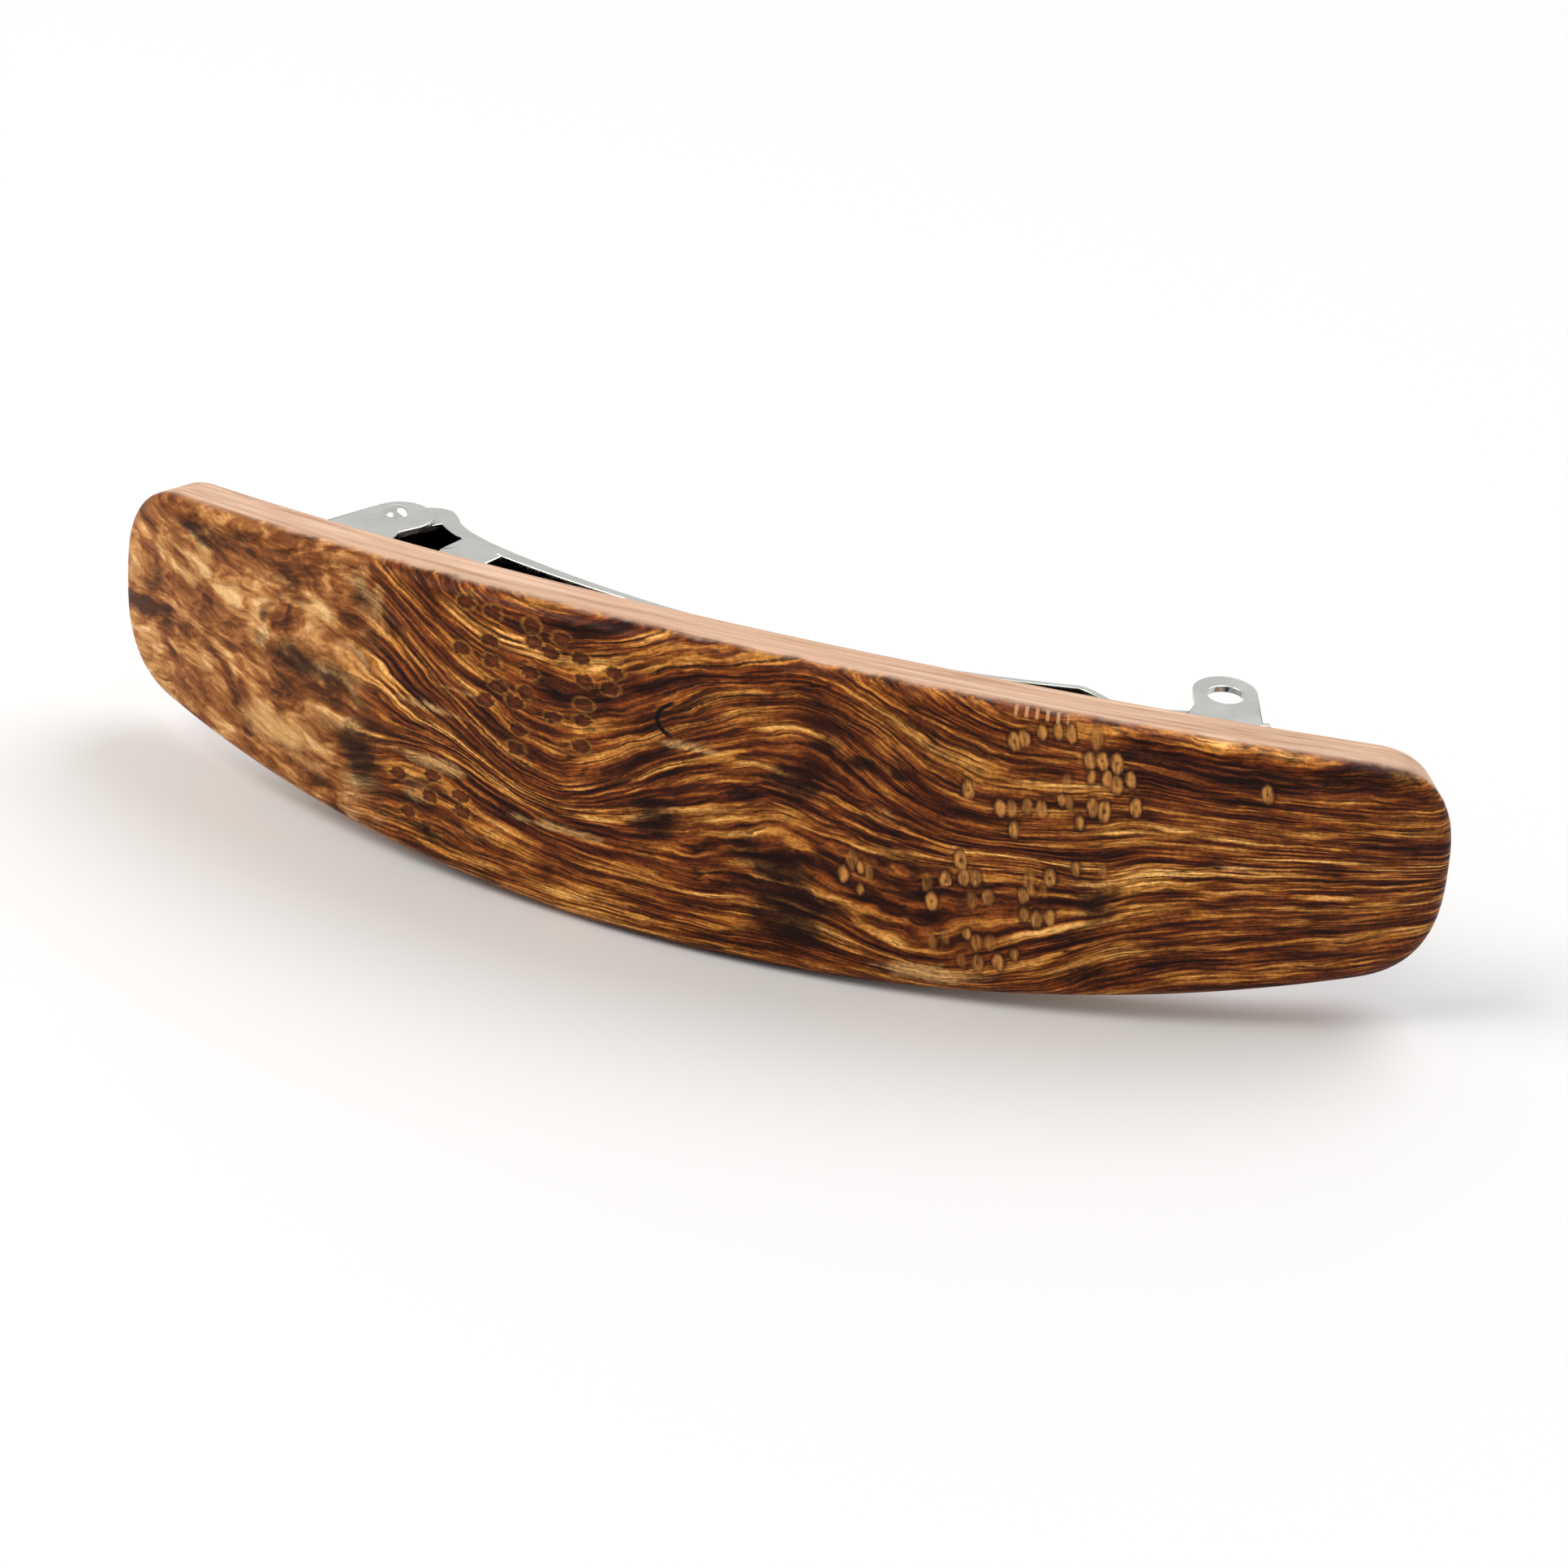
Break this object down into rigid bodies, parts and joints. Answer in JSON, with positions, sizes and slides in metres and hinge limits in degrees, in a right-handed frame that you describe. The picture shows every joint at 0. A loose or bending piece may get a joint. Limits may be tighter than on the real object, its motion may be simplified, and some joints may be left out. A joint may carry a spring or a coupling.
{
  "type": "barrette",
  "caption": "Arched wooden hair barrette with rounded ends, glued to a steel French clip whose hinged arm and tension bar hold the hair against the back.",
  "frame": {"origin": "on the surface under the middle of the lower long edge, at the middle of the whole width and depth", "axes": "+X along the bar toward the catch, +Z across the width of the bar toward the edge that the clip sits nearer, +Y from the decorated face toward the clip"},
  "size_m": [0.104, 0.0202, 0.025],
  "materials": {
    "burl_wood": "oiled and hand rubbed, satin",
    "adhesive": "clear set epoxy",
    "nickel_plate": "nickel plated, semi-bright",
    "pin_steel": "nickel plated, bright",
    "spring_steel": "rolled spring steel, plated"
  },
  "bodies": {
    "bar": {"wood_bar": "burl_wood", "glue_bed": "adhesive", "base_plate": "nickel_plate", "hinge_pin": "pin_steel"},
    "arm": {"clasp_arm": "nickel_plate"},
    "tension": {"tension_bar": "spring_steel"}
  },
  "joints": [
    {"name": "clasp_hinge", "type": "hinge", "parent": "bar", "child": "arm", "pos_m": [-0.03051, 0.00587, 0.01725], "axis": [0, 0, 1], "range_deg": [0, 100]},
    {"name": "tension_hinge", "type": "hinge", "parent": "bar", "child": "tension", "pos_m": [-0.03051, 0.00587, 0.01725], "axis": [0, 0, 1], "range_deg": [0, 8]}
  ],
  "couplings": [
    {"joint": "tension_hinge", "follows": "clasp_hinge", "ratio": 0.08}
  ]
}
